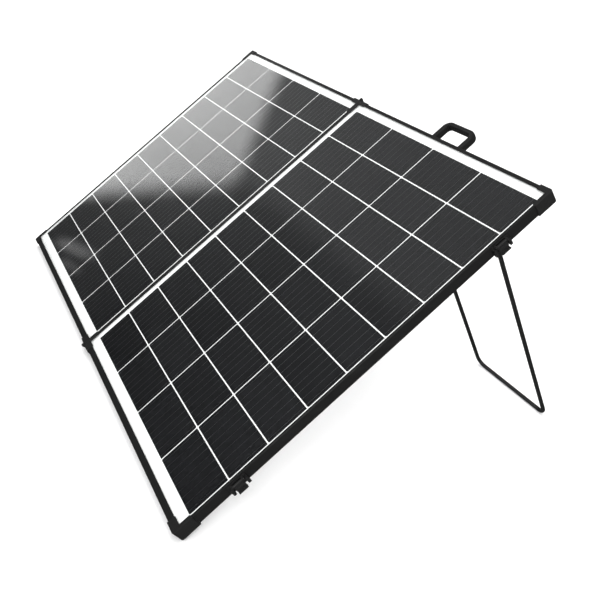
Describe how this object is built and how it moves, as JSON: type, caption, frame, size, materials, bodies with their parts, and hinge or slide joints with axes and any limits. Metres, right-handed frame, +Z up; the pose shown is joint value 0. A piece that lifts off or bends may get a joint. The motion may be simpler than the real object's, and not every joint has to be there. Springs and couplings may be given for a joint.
{
  "type": "folding solar panel",
  "caption": "Framed solar panels hinged face to face, shown open on swing-out rod legs, with a carrying handle, corner guards and snap latches.",
  "frame": {"origin": "on the ground, under the middle of the whole open charger", "axes": "+X across both panels towards the one with the handle, +Y backwards under the lean, +Z up"},
  "size_m": [1.3532, 0.8776, 0.5788],
  "materials": {
    "panel_glass": "low-reflection tempered glass",
    "solar_cell": "dark monocrystalline cells with fine silver lines",
    "white_sheet": "white film",
    "black_rubber": "matt",
    "black_frame": "black anodised, satin",
    "frame_key": "mill finish",
    "dark_screw": "blackened",
    "black_guard": "finely grained",
    "black_brace": "black anodised",
    "bright_rivet": "satin",
    "black_bracket": "black powder coat",
    "black_clip": "finely grained",
    "black_leg": "black powder coat",
    "black_box": "moulded",
    "black_lid": "moulded",
    "diode": "moulded",
    "black_gland": "moulded",
    "hinge_steel": "black, satin",
    "pin_steel": "satin",
    "hinge_screw": "satin",
    "handle_plastic": "finely grained",
    "latch_plastic": "finely grained"
  },
  "bodies": {
    "right_panel": {"right_back_sheet": "white_sheet", "right_brace_rivets": "bright_rivet", "right_bypass_diodes": "diode", "right_cable_gland": "black_gland", "right_corner_keys": "frame_key", "right_cross_brace": "black_brace", "right_edge_seal": "black_rubber", "right_front_glass": "panel_glass", "right_guard_bottom_fold": "black_guard", "right_guard_bottom_outer": "black_guard", "right_guard_screws": "dark_screw", "right_guard_top_fold": "black_guard", "right_guard_top_outer": "black_guard", "right_hinge_leaves": "hinge_steel", "right_hinge_screws": "hinge_screw", "right_junction_box": "black_box", "right_junction_lid": "black_lid", "right_leg_brackets": "black_bracket", "right_leg_clip": "black_clip", "right_rail_bottom": "black_frame", "right_rail_fold": "black_frame", "right_rail_outer": "black_frame", "right_rail_top": "black_frame", "right_solar_cells": "solar_cell", "hinge_pins": "pin_steel", "handle": "handle_plastic", "handle_screws": "dark_screw", "latch_bases": "latch_plastic", "latch_pins": "pin_steel", "latch_screws": "dark_screw"},
    "left_panel": {"left_back_sheet": "white_sheet", "left_brace_rivets": "bright_rivet", "left_bypass_diodes": "diode", "left_cable_gland": "black_gland", "left_corner_keys": "frame_key", "left_cross_brace": "black_brace", "left_edge_seal": "black_rubber", "left_front_glass": "panel_glass", "left_guard_bottom_fold": "black_guard", "left_guard_bottom_outer": "black_guard", "left_guard_screws": "dark_screw", "left_guard_top_fold": "black_guard", "left_guard_top_outer": "black_guard", "left_hinge_leaves": "hinge_steel", "left_hinge_screws": "hinge_screw", "left_junction_box": "black_box", "left_junction_lid": "black_lid", "left_leg_brackets": "black_bracket", "left_leg_clip": "black_clip", "left_rail_bottom": "black_frame", "left_rail_fold": "black_frame", "left_rail_outer": "black_frame", "left_rail_top": "black_frame", "left_solar_cells": "solar_cell", "catches": "latch_plastic", "catch_screws": "dark_screw"},
    "right_leg": {"right_leg": "black_leg"},
    "left_leg": {"left_leg": "black_leg"},
    "latch_arm_lower": {"latch_arm_lower": "latch_plastic"},
    "latch_arm_upper": {"latch_arm_upper": "latch_plastic"}
  },
  "joints": [
    {"name": "panel_fold", "type": "hinge", "parent": "right_panel", "child": "left_panel", "pos_m": [-0.0035, -0.06616, 0.28949], "axis": [0, 0.809, 0.5878], "range_deg": [0, 180]},
    {"name": "right_leg_fold", "type": "hinge", "parent": "right_panel", "child": "right_leg", "pos_m": [0.5385, 0.20193, 0.46066], "axis": [-1, 0, 0], "range_deg": [0, 81]},
    {"name": "left_leg_fold", "type": "hinge", "parent": "left_panel", "child": "left_leg", "pos_m": [-0.5455, 0.20193, 0.46066], "axis": [-1, 0, 0], "range_deg": [0, 81]},
    {"name": "latch_lower_swing", "type": "hinge", "parent": "right_panel", "child": "latch_arm_lower", "pos_m": [0.6712, -0.31311, 0.09943], "axis": [0, -0.809, -0.5878], "range_deg": [0, 180]},
    {"name": "latch_upper_swing", "type": "hinge", "parent": "right_panel", "child": "latch_arm_upper", "pos_m": [0.6712, 0.19656, 0.46974], "axis": [0, -0.809, -0.5878], "range_deg": [0, 180]}
  ]
}
